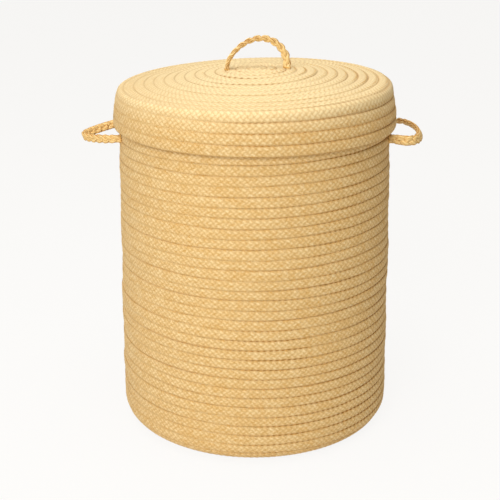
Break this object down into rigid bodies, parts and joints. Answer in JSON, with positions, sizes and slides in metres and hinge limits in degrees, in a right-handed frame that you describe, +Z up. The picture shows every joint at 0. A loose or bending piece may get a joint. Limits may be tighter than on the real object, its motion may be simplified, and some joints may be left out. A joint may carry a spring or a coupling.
{
  "type": "laundry hamper with lid",
  "caption": "Round coiled-braid laundry hamper with a domed lift-off lid, two swinging plaited side handles and a plaited lid handle.",
  "frame": {"origin": "middle of the underside of the base, on the floor", "axes": "+Z up out of the mouth, +X towards the right-hand side handle, -Y the front"},
  "size_m": [0.498, 0.4102, 0.5784],
  "materials": {
    "basket_braid": "matt flat braid of straw-coloured fibre, coiled and stitched",
    "lid_braid": "matt flat braid of pale straw-coloured fibre, coiled and stitched",
    "sewing_thread": "thin golden-brown sewing thread",
    "handle_plait": "flat three-strand plait of golden fibre cord"
  },
  "bodies": {
    "hamper": {"base_coil": "basket_braid", "wall_coil": "basket_braid", "base_seam_thread": "sewing_thread", "wall_seam_thread": "sewing_thread", "left_handle_front_knot": "handle_plait", "left_handle_rear_knot": "handle_plait", "right_handle_front_knot": "handle_plait", "right_handle_rear_knot": "handle_plait", "left_handle_front_binding": "sewing_thread", "left_handle_rear_binding": "sewing_thread", "right_handle_front_binding": "sewing_thread", "right_handle_rear_binding": "sewing_thread"},
    "lid": {"lid_crown_coil": "lid_braid", "lid_skirt_coil": "lid_braid", "lid_seam_thread": "sewing_thread", "lid_handle_left_knot": "handle_plait", "lid_handle_right_knot": "handle_plait", "lid_handle_left_binding": "sewing_thread", "lid_handle_right_binding": "sewing_thread"},
    "left_handle": {"left_handle_strand_a": "handle_plait", "left_handle_strand_b": "handle_plait", "left_handle_strand_c": "handle_plait"},
    "right_handle": {"right_handle_strand_a": "handle_plait", "right_handle_strand_b": "handle_plait", "right_handle_strand_c": "handle_plait"},
    "lid_handle": {"lid_handle_strand_a": "handle_plait", "lid_handle_strand_b": "handle_plait", "lid_handle_strand_c": "handle_plait"}
  },
  "joints": [
    {"name": "lid_lift", "type": "slide", "parent": "hamper", "child": "lid", "axis": [0, 0, 1], "range_m": [0, 0.3]},
    {"name": "left_handle_swing", "type": "hinge", "parent": "hamper", "child": "left_handle", "pos_m": [-0.19711, 0, 0.44], "axis": [0, -1, 0], "range_deg": [-30, 65]},
    {"name": "right_handle_swing", "type": "hinge", "parent": "hamper", "child": "right_handle", "pos_m": [0.19711, 0, 0.44], "axis": [0, 1, 0], "range_deg": [-30, 65]},
    {"name": "lid_handle_swing", "type": "hinge", "parent": "lid", "child": "lid_handle", "pos_m": [0, 0, 0.53712], "axis": [1, 0, 0], "range_deg": [-80, 80]}
  ]
}
